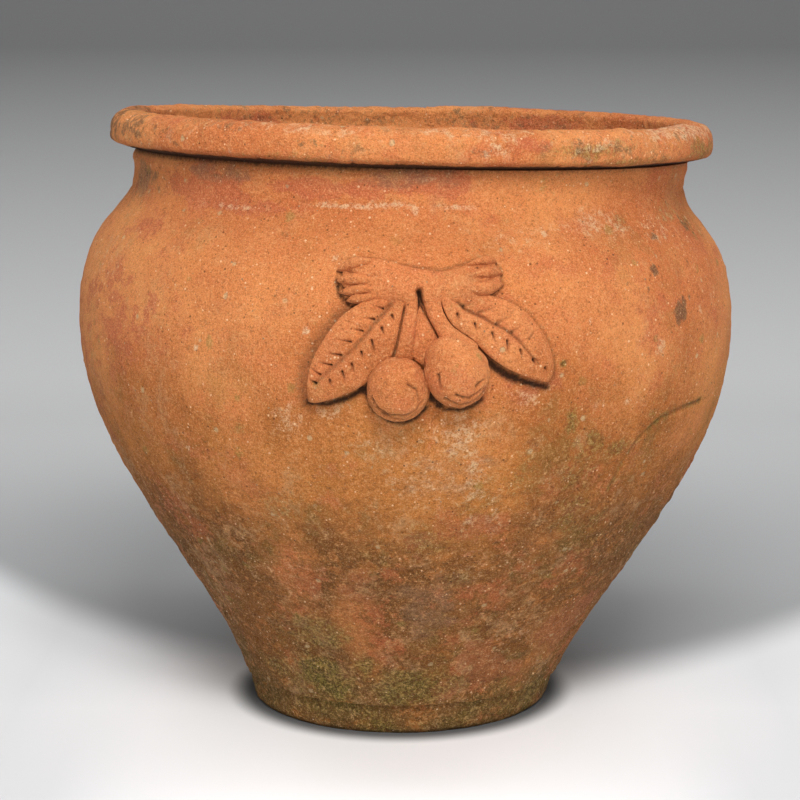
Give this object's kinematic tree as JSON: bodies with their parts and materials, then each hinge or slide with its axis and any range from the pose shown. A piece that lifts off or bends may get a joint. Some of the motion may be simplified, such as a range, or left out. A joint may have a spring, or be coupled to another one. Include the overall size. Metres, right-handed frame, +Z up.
{
  "type": "terracotta garden jar",
  "caption": "Wide-mouthed terracotta garden jar with a rolled rim, a small foot and a luted sprig of fruit, leaves and twig on its front",
  "frame": {"origin": "centre of the foot's underside, on the ground", "axes": "+Z up through the mouth. -Y is the front, which carries the sprig. +X is to the right of someone facing the front."},
  "size_m": [0.4599, 0.4838, 0.4228],
  "materials": {
    "foot_clay": "unglazed, stained olive brown by damp and algae",
    "wall_clay": "unglazed, coarse grog, weathered",
    "rim_clay": "unglazed, pitted, with lichen and lime bloom",
    "sprig_clay": "unglazed, tooled by hand"
  },
  "bodies": {
    "root": {"floor_slab": "foot_clay", "lower_wall": "wall_clay", "upper_wall": "wall_clay", "neck_collar": "wall_clay", "rim_band": "rim_clay", "twig": "sprig_clay", "left_leaf": "sprig_clay", "right_leaf": "sprig_clay", "left_stalk": "sprig_clay", "right_stalk": "sprig_clay", "left_fruit": "sprig_clay", "right_fruit": "sprig_clay"}
  },
  "joints": []
}
